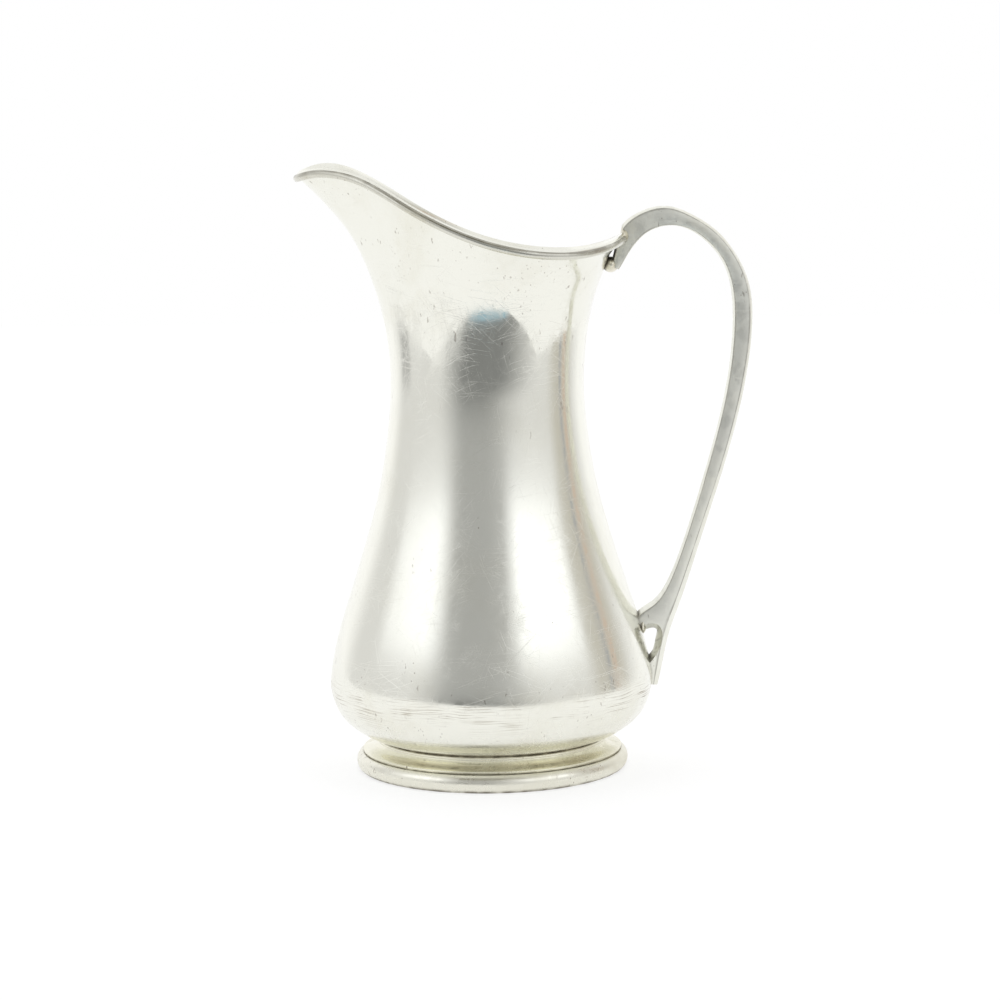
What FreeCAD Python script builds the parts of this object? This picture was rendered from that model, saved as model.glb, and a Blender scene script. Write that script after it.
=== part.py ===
import FreeCAD, Part
import math
import os

# Silver-plated water pitcher: raised body with a pouring lip, spun foot, cast loop handle.
# Millimetres. +Z up, Z = 0 is the table, the body's axis is the Z axis, the lip points to -X
# and the handle to +X.

V = FreeCAD.Vector

# --- driving dimensions ---------------------------------------------------------------------
WALL = 1.3              # sheet thickness of body and bowl
SEAM_Z = 23.2           # height of the soldered belly seam
LAP = 3.2               # how far the bowl's lap stands up inside the upper body
LAP_T = 0.8             # thickness of that lap
BEAD_R = 1.41           # radius of the half-round rim wire
LIP_SKEW = 1.45         # the lip's two flanks stand this much above and below their mean
COLUMNS = 48            # control columns round the upper body

# outer outline of the lower bowl, centre of the floor to the seam (control points r, z)
BOWL = [(0, 14.2), (14, 14.2), (28, 13.9), (37.2, 11.6), (43.3, 12.7), (47.0, 13.2),
        (55.9, 19.3), (57.65, SEAM_Z)]

# outer outline of the upper body below the flare, seam to waist (control points r, z)
BELLY = [(57.65, SEAM_Z), (60.65, 29.8), (60.0, 37.0), (57.35, 50.0), (52.15, 66.0),
         (46.25, 84.0), (40.7, 103.0), (37.65, 121.0), (35.65, 138.0)]

# the flare from waist to rim: share of the rise, share of the spread at handle and at lip
FLARE = [(0.24, 0.033, 0.001), (0.45, 0.130, 0.110), (0.64, 0.278, 0.281),
         (0.80, 0.545, 0.493), (0.92, 0.700, 0.789), (1.00, 1.000, 1.000)]

# rim line: angle from the handle, radius, height
RIM = [(0, 50.1, 196.3), (25, 51.2, 194.1), (45, 51.4, 191.2), (65, 50.6, 190.9),
       (85, 48.7, 193.9), (105, 46.1, 199.9), (125, 46.6, 207.9), (142, 49.7, 215.9),
       (155, 55.5, 221.1), (165, 62.3, 222.6), (173, 67.3, 220.6), (180, 68.4, 219.2)]
RIM_EDGE = 1.75         # the sheet stands this much above the rim line

# foot: spun collar, outer face from the flange to the neck (r, z)
COLLAR_COVE = [(48.5, 7.5), (47.6, 8.05), (45.6, 8.35), (43.6, 9.2), (42.6, 10.6)]
COLLAR_SHOULDER = (42.0, 11.85)
COLLAR_FLANGE_R = 44.6
COLLAR_TOP_R = 39.6
COLLAR_UNDER = [(44.6, 6.6), (44.0, 7.1), (42.7, 8.1), (41.6, 9.4), (41.0, 10.6)]
RING_OUTER = [(48.7, 0.0), (50.0, 0.35), (50.85, 2.2), (50.9, 4.1), (50.2, 5.7), (49.0, 6.5)]
RING_INNER_R = 45.4
RING_TOP_Z = 6.6
GROOVE_R = 48.3         # bottom of the groove between ring and collar

# handle stations from the root tip to the lower tip:
# inner x, z, outer x, z, half width, crown of the outer face
HANDLE = [
    (48.9, 184.9, 45.8, 186.4, 5.2, 0.6),
    (50.8, 187.9, 47.6, 192.3, 5.8, 0.7),
    (53.1, 191.7, 49.6, 199.6, 6.3, 0.8),
    (56.8, 196.2, 53.8, 204.1, 6.6, 0.8),
    (61.3, 199.3, 59.9, 207.0, 6.6, 0.8),
    (67.2, 200.7, 67.3, 207.8, 6.5, 0.8),
    (74.3, 199.5, 76.0, 204.7, 6.2, 0.9),
    (81.4, 194.9, 84.6, 199.1, 5.9, 1.0),
    (87.2, 187.8, 91.4, 191.2, 5.6, 1.0),
    (90.6, 177.6, 96.9, 179.4, 5.3, 1.1),
    (91.3, 167.2, 98.2, 167.0, 5.1, 1.1),
    (90.2, 151.2, 96.8, 150.6, 4.9, 1.2),
    (86.9, 132.8, 93.1, 131.9, 4.7, 1.3),
    (82.0, 114.2, 87.9, 113.0, 4.6, 1.4),
    (76.6, 96.0, 82.0, 94.6, 4.7, 1.6),
    (71.5, 80.7, 77.0, 79.2, 5.0, 1.8),
    (66.6, 68.7, 73.0, 67.0, 5.5, 2.0),
    (60.8, 60.7, 70.1, 58.9, 6.1, 2.1),
    (54.6, 55.8, 67.6, 52.2, 6.5, 2.1),
    (53.4, 48.0, 65.9, 46.4, 6.3, 2.0),
    (54.6, 39.0, 64.1, 38.0, 5.3, 1.9),
    (57.4, 30.6, 62.3, 29.9, 3.4, 1.5),
]

# pierced opening above the handle's lower tip (x, z), closed on the body side
PIERCING = [(55.6, 49.4), (57.8, 50.8), (59.6, 51.4), (61.3, 51.4), (62.2, 50.4),
            (62.1, 48.6), (61.4, 45.4), (60.5, 42.4), (59.4, 41.0)]
PIERCING_DEPTH = 2.0    # it is straight this far each side of the middle
PIERCING_FLARE = 3.6    # then widens by this much over the next 6.6 mm

BEAD_FOOT = 2.70        # the rim wire's foot lies this far below the sheet's top edge
FIT_GAP = 0.15          # the handle is filed this much clear of the rim wire
FLOW_GAP = 0.02         # and the solder that fills the joint stops this much short of it
FIT_TAPER = 1.4         # the filed seat runs out this far below the wire
SEAM_BAND = 0.7         # height of the belly seam's filled groove
SEAM_DEPTH = 0.35       # its depth
CROWN_FULLNESS = 0.62   # how square the handle's outer face is across its width
TOP_SOLDER = ((50.4, 0.0, 197.0), (3.2, 8.3, 3.6))
ROOT_SOLDER = ((46.1, 0.0, 186.7), (2.9, 6.2, 2.9))
ARCH_SOLDER = ((56.6, 0.0, 52.8), (1.7, 7.1, 3.8))
TIP_SOLDER = ((59.9, 0.0, 32.9), (1.5, 5.2, 3.5))

SHRINK = (2.0 + math.cos(2.0 * math.pi / COLUMNS)) / 3.0


# --- curves and surfaces --------------------------------------------------------------------
def clamped(count):
    """Knots and multiplicities of a clamped cubic with this many poles."""
    spans = count - 3
    knots = [i / float(spans) for i in range(spans + 1)]
    mults = [4] + [1] * (spans - 1) + [4]
    return knots, mults


def cubic(points):
    """Clamped cubic spline curve from control points given as (r, z) in the XZ plane."""
    knots, mults = clamped(len(points))
    curve = Part.BSplineCurve()
    poles = [V(p[0], 0, p[1]) for p in points]
    curve.buildFromPolesMultsKnots(poles, mults, knots, False, 3)
    return curve


def through(values, params):
    """Control values of the clamped cubic spline through (a, b) pairs."""
    curve = Part.BSplineCurve()
    curve.interpolate(Points=[V(a, 0, b) for a, b in values], Parameters=params)
    return curve


def unit(a, b):
    size = math.hypot(a, b)
    return a / size, b / size


def offset(points, distance):
    """Control polygon moved sideways, to the left of its direction, by a distance."""
    moved = []
    last = len(points) - 1
    for i, (r, z) in enumerate(points):
        before = points[max(i - 1, 0)]
        after = points[min(i + 1, last)]
        tr, tz = unit(after[0] - before[0], after[1] - before[1])
        moved.append((r - tz * distance, z + tr * distance))
    return moved


def rim_values(degrees):
    """Radius and height of the rim line at an angle from the handle."""
    angles = [-a[0] for a in RIM[:0:-1]] + [a[0] for a in RIM]
    radii = [a[1] for a in RIM[:0:-1]] + [a[1] for a in RIM]
    heights = [a[2] for a in RIM[:0:-1]] + [a[2] for a in RIM]
    curve_r = through(list(zip(angles, radii)), angles)
    curve_z = through(list(zip(angles, heights)), angles)
    return curve_r.value(degrees).z, curve_z.value(degrees).z


def meridian(index):
    """Outer outline (control points r, z) of the upper body at one control column."""
    degrees = 360.0 * index / COLUMNS
    if degrees > 180.0:
        degrees -= 360.0
    radius, height = rim_values(degrees)
    skew = math.exp(-((abs(degrees) - 163.0) / 12.6) ** 2)
    height += math.copysign(LIP_SKEW * skew, math.sin(math.radians(degrees)))
    lipness = (1.0 - math.cos(math.radians(degrees))) / 2.0
    waist_r, waist_z = BELLY[-1]
    points = list(BELLY)
    for rise, spread_handle, spread_lip in FLARE:
        spread = spread_handle + (spread_lip - spread_handle) * lipness
        points.append((waist_r + (radius - waist_r) * spread,
                       waist_z + (height - waist_z) * rise))
    tr, tz = unit(points[-1][0] - points[-2][0], points[-1][1] - points[-2][1])
    points[-1] = (points[-1][0] + RIM_EDGE * tr, points[-1][1] + RIM_EDGE * tz)
    return points


def ring_surface(columns, knots, mults):
    """Surface closed round the axis; columns[i] lists that column's control points (r, z)."""
    rows = []
    for i, column in enumerate(columns):
        angle = 2.0 * math.pi * i / len(columns)
        c = math.cos(angle) / SHRINK
        s = math.sin(angle) / SHRINK
        rows.append([V(r * c, r * s, z) for r, z in column])
    around = [i / float(len(columns)) for i in range(len(columns) + 1)]
    surface = Part.BSplineSurface()
    degree = 3 if len(columns[0]) > 3 else len(columns[0]) - 1
    surface.buildFromPolesMultsKnots(rows, [1] * len(around), mults, around, knots,
                                     True, False, 3, degree)
    return surface


def ruled_ring(columns):
    return ring_surface(columns, [0.0, 1.0], [2, 2])


def solid_of(faces):
    """Solid from faces that meet edge to edge."""
    sewn = Part.Compound(faces)
    sewn.sewShape(0.002)
    solid = Part.makeSolid(sewn.Shells[0])
    if solid.Volume < 0:
        solid.reverse()
    return solid


def revolved(edges):
    """Solid turned from a closed section in the XZ plane."""
    face = Part.Face(Part.Wire(edges))
    solid = face.revolve(V(0, 0, 0), V(0, 0, 1), 360)
    if solid.Volume < 0:
        solid.reverse()
    return solid


def line(a, b):
    return Part.makeLine(V(a[0], 0, a[1]), V(b[0], 0, b[1]))


def biggest(shape):
    return sorted(shape.Solids, key=lambda s: s.Volume)[-1]


# --- body -----------------------------------------------------------------------------------
COLUMN_POINTS = [meridian(i) for i in range(COLUMNS)]
INNER_POINTS = [offset(points, WALL) for points in COLUMN_POINTS]
for inner in INNER_POINTS:
    inner[0] = (inner[0][0], SEAM_Z)
KNOTS_UP, MULTS_UP = clamped(len(COLUMN_POINTS[0]))


def upper_body():
    """Raised sheet body from the belly seam to the rim, with its pouring lip."""
    outer = ring_surface(COLUMN_POINTS, KNOTS_UP, MULTS_UP)
    inner = ring_surface(INNER_POINTS, KNOTS_UP, MULTS_UP)
    top = ruled_ring([[o[-1], i[-1]] for o, i in zip(COLUMN_POINTS, INNER_POINTS)])
    bottom = ruled_ring([[o[0], i[0]] for o, i in zip(COLUMN_POINTS, INNER_POINTS)])
    faces = [s.toShape() for s in (outer, inner, top, bottom)]
    return solid_of(faces)


def stretch(points, upper, lower):
    """Control points of a column's outline between two distances below its top edge."""
    curve = cubic(points)
    params = []
    for distance in (lower, upper):
        params.append(curve.parameterAtDistance(-distance, 1.0) if distance > 0 else 1.0)
    curve.segment(params[0], params[1])
    return [(p.x, p.z) for p in curve.getPoles()]


def bead_frame(points):
    """Where the rim wire sits at one column: top edge, direction, half chord, lean, centre."""
    curve = cubic(points)
    top = curve.value(1.0)
    foot = curve.value(curve.parameterAtDistance(-BEAD_FOOT, 1.0))
    tangent = unit(top.x - foot.x, top.z - foot.z)
    half = math.hypot(top.x - foot.x, top.z - foot.z) / 2.0
    lean = math.acos(half / BEAD_R)
    return top, tangent, half, lean, BEAD_R * math.sin(lean)


def bead_arc(points):
    """Round side of the rim wire at one column, from the wire's foot to the top edge."""
    top, (tr, tz), half, lean, drop = bead_frame(points)
    foot_r = top.x - 2.0 * half * tr
    foot_z = top.z - 2.0 * half * tz
    steps = 8
    arc = []
    for k in range(steps + 1):
        a = -lean + (math.pi + 2.0 * lean) * k / steps
        along = half - BEAD_R * math.cos(a)
        out = drop + BEAD_R * math.sin(a)
        arc.append((foot_r + tr * along + tz * out, foot_z + tz * along - tr * out))
    params = [k / float(steps) for k in range(steps + 1)]
    spline = Part.BSplineCurve()
    spline.interpolate(Points=[V(r, 0, z) for r, z in arc], Parameters=params)
    return spline


def ring_of(curves):
    """Closed surface round the axis from one outline curve per column."""
    columns = [[(p.x, p.z) for p in c.getPoles()] for c in curves]
    return ring_surface(columns, curves[0].getKnots(), curves[0].getMultiplicities())


BEAD_ARCS = [bead_arc(points) for points in COLUMN_POINTS]


def rim_wire():
    """Half-round wire soldered outside the mouth's edge."""
    backs = [stretch(points, 0.0, BEAD_FOOT) for points in COLUMN_POINTS]
    back = ring_surface(backs, [0.0, 1.0], [4, 4])
    arc = ring_of(BEAD_ARCS)
    return solid_of([back.toShape(), arc.toShape()])


def rim_clearance(gap):
    """Ring larger than the wire by a gap, for fitting pieces over the rim."""
    sections = []
    for points in COLUMN_POINTS:
        top, tangent, half, lean, drop = bead_frame(points)
        tr, tz = tangent

        def at(along, out):
            return (top.x - tr * (2.0 * half - along) + tz * out,
                    top.z - tz * (2.0 * half - along) - tr * out)

        radius = BEAD_R + gap
        first = math.radians(10.0)
        last = math.pi + lean
        arc = []
        for k in range(9):
            a = first + (last - first) * k / 8.0
            arc.append(at(half - radius * math.cos(a), drop + radius * math.sin(a)))
        inside = at(2.0 * half + gap, 0.2 - WALL)
        low = at(-FIT_TAPER, -0.4 * WALL)
        box = [inside, (inside[0], inside[1] + 6.0), (inside[0] - 7.0, inside[1] + 6.0),
               (inside[0] - 7.0, low[1]), low]
        sections.append((arc, box))
    params = [k / 8.0 for k in range(9)]
    arcs = []
    for arc, box in sections:
        spline = Part.BSplineCurve()
        spline.interpolate(Points=[V(r, 0, z) for r, z in arc], Parameters=params)
        arcs.append(spline)
    faces = [ring_of(arcs).toShape()]
    loops = [[arc[-1]] + box + [arc[0]] for arc, box in sections]
    for k in range(len(loops[0]) - 1):
        faces.append(ruled_ring([[loop[k], loop[k + 1]] for loop in loops]).toShape())
    return solid_of(faces)


def at_height(curve, z, low, high):
    """Parameter where a rising outline reaches a height."""
    for _ in range(60):
        mid = (low + high) / 2.0
        if curve.value(mid).z < z:
            low = mid
        else:
            high = mid
    return low


def at_radius(curve, r, low, high):
    """Parameter where an outline running outwards reaches a radius."""
    for _ in range(60):
        mid = (low + high) / 2.0
        if curve.value(mid).x < r:
            low = mid
        else:
            high = mid
    return low


BOWL_OUT = cubic(BOWL)
BOWL_IN_POINTS = offset(BOWL, WALL)
BOWL_IN_POINTS[0] = (0, BOWL[0][1] + WALL)
BOWL_IN = cubic(BOWL_IN_POINTS)
BODY_IN = cubic(INNER_POINTS[12])


def lower_bowl():
    """Spun lower bowl with a thin lap that stands up inside the upper body."""
    seam = at_height(BOWL_OUT, SEAM_Z - SEAM_BAND, 0.8, 1.0)
    band = BOWL_OUT.value(seam)
    start_r = BODY_IN.value(0.0).x
    lap_v = at_height(BODY_IN, SEAM_Z + LAP, 0.0, 0.3)
    lap = BODY_IN.copy()
    lap.segment(0.0, lap_v)
    lap_poles = [(p.x - 0.02, p.z) for p in lap.getPoles()]
    lap_out = Part.BSplineCurve()
    lap_out.buildFromPolesMultsKnots([V(r, 0, z) for r, z in lap_poles],
                                     lap.getMultiplicities(), lap.getKnots(), False, 3)
    lap_in = Part.BSplineCurve()
    lap_in.buildFromPolesMultsKnots([V(r - LAP_T, 0, z) for r, z in lap_poles],
                                    lap.getMultiplicities(), lap.getKnots(), False, 3)
    bowl_end = BOWL_IN.value(1.0)
    edges = [
        BOWL_OUT.toShape(0.0, seam),
        line((band.x, band.z), (band.x - SEAM_DEPTH, SEAM_Z)),
        line((band.x - SEAM_DEPTH, SEAM_Z), lap_poles[0]),
        lap_out.toShape(),
        line(lap_poles[-1], (lap_poles[-1][0] - LAP_T, lap_poles[-1][1])),
        lap_in.toShape(),
        line((lap_poles[0][0] - LAP_T, lap_poles[0][1]), (bowl_end.x, bowl_end.z)),
        BOWL_IN.toShape(),
        line((0, BOWL_IN_POINTS[0][1]), (0, BOWL[0][1])),
    ]
    return revolved(edges)


def belly_seam():
    """Solder that fills the groove at the belly seam, filed flush."""
    seam = at_height(BOWL_OUT, SEAM_Z - SEAM_BAND, 0.8, 1.0)
    band = BOWL_OUT.value(seam)
    end = BOWL_OUT.value(1.0)
    edges = [
        BOWL_OUT.toShape(seam, 1.0),
        line((end.x, end.z), (band.x - SEAM_DEPTH, SEAM_Z)),
        line((band.x - SEAM_DEPTH, SEAM_Z), (band.x, band.z)),
    ]
    return revolved(edges)


# --- foot -----------------------------------------------------------------------------------
def foot_collar():
    """Spun cove between the bowl and the base ring."""
    cove = cubic(COLLAR_COVE)
    neck = cubic([COLLAR_COVE[-1], (43.0, 10.95), (42.75, 11.6), COLLAR_SHOULDER])
    shoulder = at_radius(BOWL_OUT, COLLAR_TOP_R, 0.4, 0.8)
    rest = at_radius(BOWL_OUT, COLLAR_SHOULDER[0] - 0.5, 0.4, 0.9)
    low = BOWL_OUT.value(shoulder)
    high = BOWL_OUT.value(rest)
    under = cubic(COLLAR_UNDER + [(low.x, low.z)])
    edges = [
        line((COLLAR_FLANGE_R, RING_TOP_Z), (GROOVE_R, RING_TOP_Z)),
        line((GROOVE_R, RING_TOP_Z), COLLAR_COVE[0]),
        cove.toShape(),
        neck.toShape(),
        line(COLLAR_SHOULDER, (high.x, high.z)),
        BOWL_OUT.toShape(shoulder, rest),
        under.toShape(),
    ]
    return revolved(edges)


def neck_solder():
    """Solder fillet between the bowl's underside and the foot collar."""
    rest = at_radius(BOWL_OUT, COLLAR_SHOULDER[0] - 0.5, 0.4, 0.9)
    out = at_radius(BOWL_OUT, COLLAR_SHOULDER[0] + 1.5, 0.4, 0.9)
    high = BOWL_OUT.value(rest)
    far = BOWL_OUT.value(out)
    edges = [
        BOWL_OUT.toShape(rest, out),
        line(COLLAR_SHOULDER, (high.x, high.z)),
        line(COLLAR_SHOULDER, (far.x, far.z)),
    ]
    return revolved(edges)


def base_ring():
    """Heavy drawn ring the pitcher stands on."""
    bead = cubic(RING_OUTER)
    edges = [
        line((RING_INNER_R, 0), RING_OUTER[0]),
        bead.toShape(),
        line(RING_OUTER[-1], (GROOVE_R, RING_TOP_Z)),
        line((GROOVE_R, RING_TOP_Z), (RING_INNER_R, RING_TOP_Z)),
        line((RING_INNER_R, RING_TOP_Z), (RING_INNER_R, 0)),
    ]
    return revolved(edges)


def ring_solder():
    """Solder bead inside the foot, between the base ring and the collar's flange."""
    edges = [
        line((COLLAR_FLANGE_R, RING_TOP_Z), (RING_INNER_R, RING_TOP_Z)),
        line((RING_INNER_R, RING_TOP_Z), (RING_INNER_R, RING_TOP_Z - 1.2)),
        line((RING_INNER_R, RING_TOP_Z - 1.2), (COLLAR_FLANGE_R - 1.3, RING_TOP_Z + 0.3)),
        line((COLLAR_FLANGE_R - 1.3, RING_TOP_Z + 0.3), (COLLAR_FLANGE_R, RING_TOP_Z)),
    ]
    return revolved(edges)


# --- handle ---------------------------------------------------------------------------------
def handle_params():
    """Chord-length parameters of the handle stations."""
    total = [0.0]
    for a, b in zip(HANDLE[:-1], HANDLE[1:]):
        da = math.hypot(b[0] - a[0], b[1] - a[1])
        db = math.hypot(b[2] - a[2], b[3] - a[3])
        total.append(total[-1] + (da + db) / 2.0)
    return [t / total[-1] for t in total]


def lengthwise(points):
    curve = Part.BSplineCurve()
    curve.interpolate(Points=points, Parameters=handle_params())
    return curve


def strip(curves):
    """Surface across lengthwise curves that share one parameter, flat or a cubic crown."""
    count = len(curves)
    rows = [c.getPoles() for c in curves]
    poles = [[rows[j][i] for j in range(count)] for i in range(len(rows[0]))]
    surface = Part.BSplineSurface()
    surface.buildFromPolesMultsKnots(poles, curves[0].getMultiplicities(), [count, count],
                                     curves[0].getKnots(), [0.0, 1.0], False, False, 3, count - 1)
    return surface


def handle_lines():
    """Lengthwise curves: inner edge, side edge and two crown rows for each side."""
    sets = {}
    for side in (-1, 1):
        inner = []
        edge = []
        crown = []
        for xi, zi, xo, zo, half, rise in HANDLE:
            dx, dz = unit(xo - xi, zo - zi)
            bx = xo - dx * rise
            bz = zo - dz * rise
            inner.append(V(xi, side * half, zi))
            edge.append(V(bx, side * half, bz))
            crown.append(V(bx + dx * rise * 4.0 / 3.0, side * half * CROWN_FULLNESS,
                           bz + dz * rise * 4.0 / 3.0))
        sets[side] = [lengthwise(inner), lengthwise(edge), lengthwise(crown)]
    return sets


def handle_blank():
    """The whole strap before it is fitted to the body."""
    sets = handle_lines()
    near = sets[-1]
    far = sets[1]
    surfaces = [strip([near[0], far[0]]), strip([near[0], near[1]]), strip([far[0], far[1]]),
                strip([near[1], near[2], far[2], far[1]])]
    faces = [s.toShape() for s in surfaces]
    for u in (0.0, 1.0):
        edges = [s.uIso(u).toShape() for s in surfaces]
        faces.append(Part.Face(Part.Wire(Part.__sortEdges__(edges))))
    return solid_of(faces)


def piercing():
    """Opening cut through the lower end, its edges flared on both faces."""
    def outline(grow, y):
        cx = sum(p[0] for p in PIERCING) / len(PIERCING)
        cz = sum(p[1] for p in PIERCING) / len(PIERCING)
        points = []
        for x, z in PIERCING:
            ux, uz = unit(x - cx, z - cz)
            points.append(V(x + ux * grow, y, z + uz * grow))
        points.append(V(54.5, y, 36.0 - grow))
        points.append(V(53.0, y, 46.0))
        curve = Part.BSplineCurve()
        curve.interpolate(Points=points, PeriodicFlag=True)
        return Part.Wire([curve.toShape()])

    depth = PIERCING_DEPTH
    core = Part.makeLoft([outline(0.0, -depth), outline(0.0, depth)], True, True)
    tool = core
    for side in (-1, 1):
        wide = outline(PIERCING_FLARE, side * (depth + 6.6))
        flare = Part.makeLoft([outline(0.0, side * depth), wide], True, True)
        tool = tool.fuse(flare)
    return tool


def ball(centre, radii):
    """Ellipsoid."""
    sphere = Part.makeSphere(1.0)
    matrix = FreeCAD.Matrix()
    matrix.scale(radii[0], radii[1], radii[2])
    matrix.move(V(*centre))
    return sphere.transformGeometry(matrix)


upper = upper_body()
handle = biggest(handle_blank().cut(rim_clearance(FIT_GAP)))
handle = biggest(handle.cut(upper))
handle = biggest(handle.cut(piercing()))

top_joint = ball(*TOP_SOLDER).cut(rim_clearance(FLOW_GAP)).cut(upper).cut(handle)
root_joint = ball(*ROOT_SOLDER).cut(upper).cut(handle)
arch_joint = ball(*ARCH_SOLDER).cut(upper).cut(handle)
tip_joint = ball(*TIP_SOLDER).cut(upper).cut(handle)

parts = {
    "upper_body": upper,
    "rim_wire": rim_wire(),
    "lower_bowl": lower_bowl(),
    "belly_seam_solder": belly_seam(),
    "foot_collar": foot_collar(),
    "foot_neck_solder": neck_solder(),
    "base_ring": base_ring(),
    "base_ring_solder": ring_solder(),
    "handle": handle,
    "handle_top_solder": biggest(top_joint),
    "handle_root_solder": biggest(root_joint),
    "handle_arch_solder": biggest(arch_joint),
    "handle_tip_solder": biggest(tip_joint),
}

os.makedirs("parts", exist_ok=True)
for name, shape in parts.items():
    shape.exportStep("parts/" + name + ".step")
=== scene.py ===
import math

import bmesh
import bpy
import numpy as np
from mathutils import Matrix, Vector


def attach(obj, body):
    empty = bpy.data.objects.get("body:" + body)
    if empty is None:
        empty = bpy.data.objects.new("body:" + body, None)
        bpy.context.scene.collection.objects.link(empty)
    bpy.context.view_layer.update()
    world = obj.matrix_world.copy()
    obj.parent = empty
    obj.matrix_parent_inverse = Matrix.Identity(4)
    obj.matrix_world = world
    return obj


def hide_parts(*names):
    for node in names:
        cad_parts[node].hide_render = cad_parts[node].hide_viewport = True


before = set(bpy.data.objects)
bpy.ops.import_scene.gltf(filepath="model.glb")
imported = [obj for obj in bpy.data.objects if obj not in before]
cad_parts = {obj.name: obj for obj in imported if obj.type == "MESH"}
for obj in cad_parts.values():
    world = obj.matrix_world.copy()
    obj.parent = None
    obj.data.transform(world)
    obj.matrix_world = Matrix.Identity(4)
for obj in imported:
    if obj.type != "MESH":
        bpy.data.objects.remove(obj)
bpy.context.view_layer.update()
MM = 0.001

# --- the design's own numbers, in millimetres: a polished silver pitcher, Z up, lip to -X ---------
WALL = 1.3                              # thickness of the sheet
SEAM_Z = 23.2                           # height of the seam round the belly
RIM_EDGE = 1.75                         # sheet beyond the outline's last point, at the mouth
LIP_SKEW = 1.45                         # one flank of the lip is this much higher, the other lower
COLUMNS = 48                            # control columns of the body's surface
BEAD_R, BEAD_FOOT = 1.40, 2.70          # rim wire: radius, and width of the flat on the sheet
SEAM_BAND, SEAM_DEPTH = 0.7, 0.35       # solder round the belly
LAP, LAP_T = 3.2, 0.8                   # the bowl's lap inside the body: height and thickness

# Handle, from the hook to the lower tip: inner x and z, outer x and z, half width, crown.
HANDLE = [
    (48.9, 184.9, 45.8, 186.4, 5.2, 0.6), (50.8, 187.9, 47.6, 192.3, 5.8, 0.7),
    (53.1, 191.7, 49.6, 199.6, 6.3, 0.8), (56.8, 196.2, 53.8, 204.1, 6.6, 0.8),
    (61.3, 199.3, 59.9, 207.0, 6.6, 0.8), (67.2, 200.7, 67.3, 207.8, 6.5, 0.8),
    (74.3, 199.5, 76.0, 204.7, 6.2, 0.9), (81.4, 194.9, 84.6, 199.1, 5.9, 1.0),
    (87.2, 187.8, 91.4, 191.2, 5.6, 1.0), (90.6, 177.6, 96.9, 179.4, 5.3, 1.1),
    (91.3, 167.2, 98.2, 167.0, 5.1, 1.1), (90.2, 151.2, 96.8, 150.6, 4.9, 1.2),
    (86.9, 132.8, 93.1, 131.9, 4.7, 1.3), (82.0, 114.2, 87.9, 113.0, 4.6, 1.4),
    (76.6, 96.0, 82.0, 94.6, 4.7, 1.6), (71.5, 80.7, 77.0, 79.2, 5.0, 1.8),
    (66.6, 68.7, 73.0, 67.0, 5.5, 2.0), (60.8, 60.7, 70.1, 58.9, 6.1, 2.1),
    (54.6, 55.8, 67.6, 52.2, 6.5, 2.1), (53.4, 48.0, 65.9, 46.4, 6.3, 2.0),
    (54.6, 39.0, 64.1, 38.0, 5.3, 1.9), (57.4, 30.6, 62.3, 29.9, 3.4, 1.5)]
CROWN_FULLNESS, CROWN_HEIGHT = 0.62, 1.33
SIDE_BULGE = 0.35                       # the middle of a side face stands this far out
HANDLE_EDGE = 0.5                       # radius of the handle's long edges
FIT_GAP, FIT_TAPER = 0.15, 1.4          # the handle's seat clears the rim wire

# Opening above the handle's lower tip, in x and z. Its edges are flared on both faces.
PIERCING = [(55.6, 49.4), (57.8, 50.8), (59.6, 51.4), (61.3, 51.4), (62.2, 50.4),
            (62.1, 48.6), (61.4, 45.4), (60.5, 42.4), (59.4, 41.0)]
PIERCING_DEPTH, PIERCING_FLARE, PIERCING_RUN = 2.0, 3.6, 6.6

# Outlines, in radius and height: lower bowl, body up to the waist, and the flare above the waist as
# shares of the way to the mouth (of the height, of the radius at the handle, of that at the lip).
BOWL = [(0, 14.2), (14, 14.2), (28, 13.9), (37.2, 11.6), (43.3, 12.7), (47.0, 13.2),
        (55.9, 19.3), (57.65, SEAM_Z)]
BELLY = [(57.65, SEAM_Z), (60.65, 29.8), (60.0, 37.0), (57.35, 50.0), (52.15, 66.0),
         (46.25, 84.0), (40.7, 103.0), (37.65, 121.0), (35.65, 138.0)]
FLARE = [(0.24, 0.033, 0.001), (0.45, 0.130, 0.110), (0.64, 0.278, 0.281),
         (0.80, 0.545, 0.493), (0.92, 0.700, 0.789), (1.00, 1.000, 1.000)]
# The mouth's edge: degrees from the handle, radius and height.
RIM = [(0, 50.1, 196.3), (25, 51.2, 194.1), (45, 51.4, 191.2), (65, 50.6, 190.9),
       (85, 48.7, 193.9), (105, 46.1, 199.9), (125, 46.6, 207.9), (142, 49.7, 215.9),
       (155, 55.5, 221.1), (165, 62.3, 222.6), (173, 67.3, 220.6), (180, 68.4, 219.2)]
LIP_FLANK, LIP_FLANK_WIDTH = 163.0, 12.6

COLLAR_COVE = [(48.5, 7.5), (47.6, 8.05), (45.6, 8.35), (43.6, 9.2), (42.6, 10.6)]
COLLAR_NECK = [(42.6, 10.6), (43.0, 10.95), (42.75, 11.6), (42.0, 11.85)]
COLLAR_UNDER = [(44.6, 6.6), (44.0, 7.1), (42.7, 8.1), (41.6, 9.4), (41.0, 10.6)]
COLLAR_TOP_R = 39.6
RING_OUTER = [(48.7, 0.0), (50.0, 0.35), (50.85, 2.2), (50.9, 4.1), (50.2, 5.7), (49.0, 6.5)]
RING_INNER_R, RING_TOP_Z, GROOVE_R = 45.4, 6.6, 48.3

AROUND = 240                            # points of a piece round the axis
PRINT_R = 50.0                          # radius at which a texture's length round the axis is true
# A periodic cubic's control points stand further out than the curve by this share.
SHRINK = (2.0 + math.cos(2.0 * math.pi / COLUMNS)) / 3.0

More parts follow.
